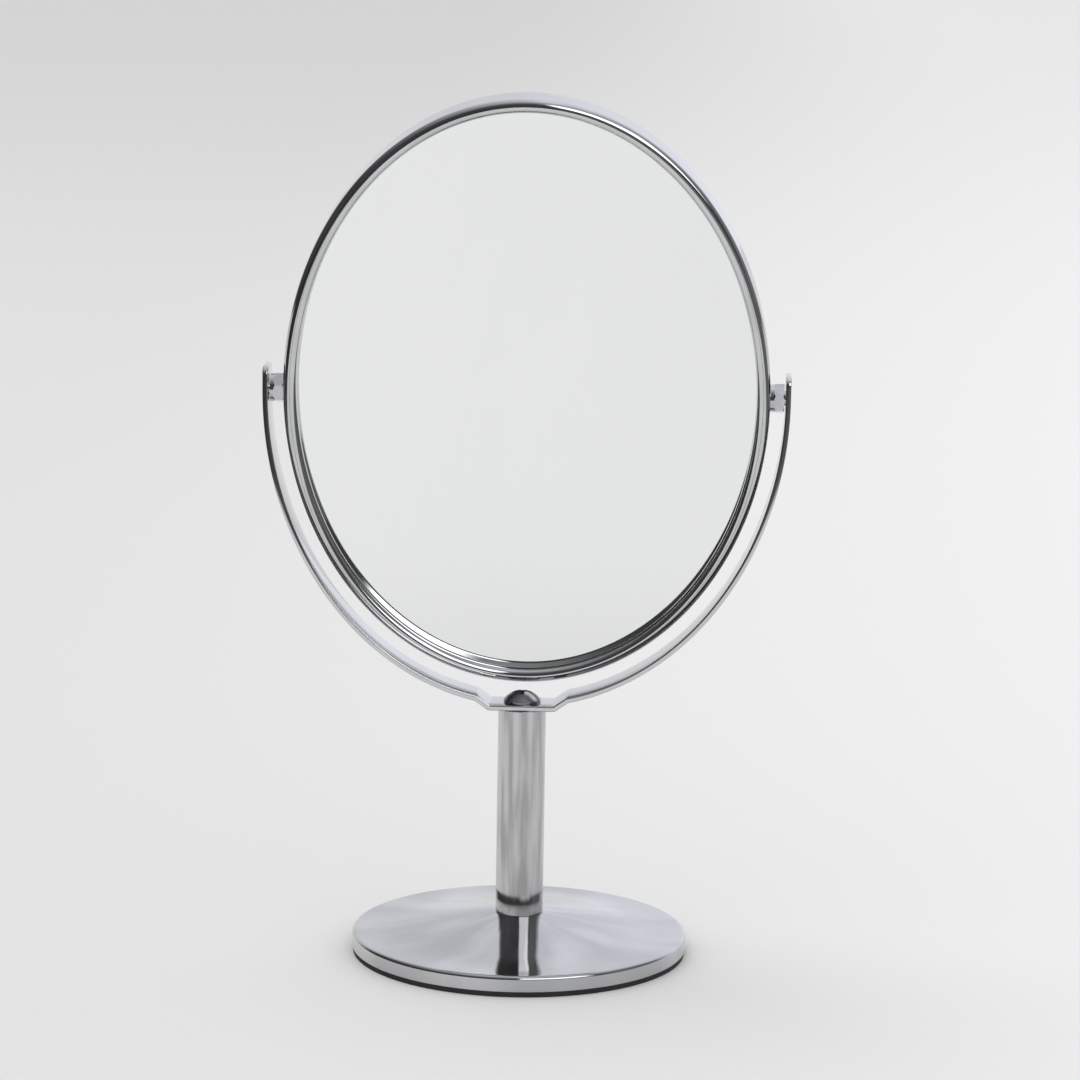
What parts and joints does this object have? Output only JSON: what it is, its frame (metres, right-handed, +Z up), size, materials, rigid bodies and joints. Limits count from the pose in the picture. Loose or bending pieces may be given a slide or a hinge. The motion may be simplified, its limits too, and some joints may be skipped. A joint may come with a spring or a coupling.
{
  "type": "standing makeup mirror",
  "caption": "Oval double-sided table mirror in a rolled metal ring, turning on two side pivots in a bent strip yoke on a short tube stem and a round weighted base.",
  "frame": {"origin": "centre of the base pad's underside, at the bottom centre of the bounding box", "axes": "+Z up, -Y towards the viewer on the plain glass side, +X to the viewer's right along the pivot axis"},
  "size_m": [0.137, 0.0888, 0.2281],
  "materials": {
    "cover_chrome": "polished plate on pressed steel",
    "weight_iron": "as cast, lightly oiled",
    "pad_foam": "matt closed-cell foam",
    "screw_steel": "bright zinc",
    "stem_chrome": "polished plate on steel tube",
    "plug_aluminium": "as turned",
    "yoke_chrome": "polished plate on bent strip",
    "screw_chrome": "polished plate",
    "frame_chrome": "polished plate on rolled sheet",
    "mirror_glass": "silvered float glass",
    "core_card": "grey board",
    "packing_foam": "matt foam",
    "pivot_chrome": "bright plate"
  },
  "bodies": {
    "stand": {"base_cover": "cover_chrome", "base_weight": "weight_iron", "base_pad": "pad_foam", "base_screw": "screw_steel", "base_washer": "screw_steel", "stem_tube": "stem_chrome", "stem_foot_plug": "plug_aluminium", "stem_top_plug": "plug_aluminium", "yoke": "yoke_chrome", "yoke_screw": "screw_chrome"},
    "mirror_head": {"mirror_frame": "frame_chrome", "front_mirror": "mirror_glass", "rear_mirror": "mirror_glass", "mirror_core": "core_card", "packing_ring": "packing_foam", "left_pivot_stud": "pivot_chrome", "right_pivot_stud": "pivot_chrome", "left_pivot_nut": "pivot_chrome", "right_pivot_nut": "pivot_chrome", "left_spring_washer": "screw_steel", "right_spring_washer": "screw_steel"}
  },
  "joints": [
    {"name": "mirror_tilt", "type": "hinge", "parent": "stand", "child": "mirror_head", "pos_m": [0, 0, 0.14982], "axis": [1, 0, 0], "continuous": true}
  ]
}
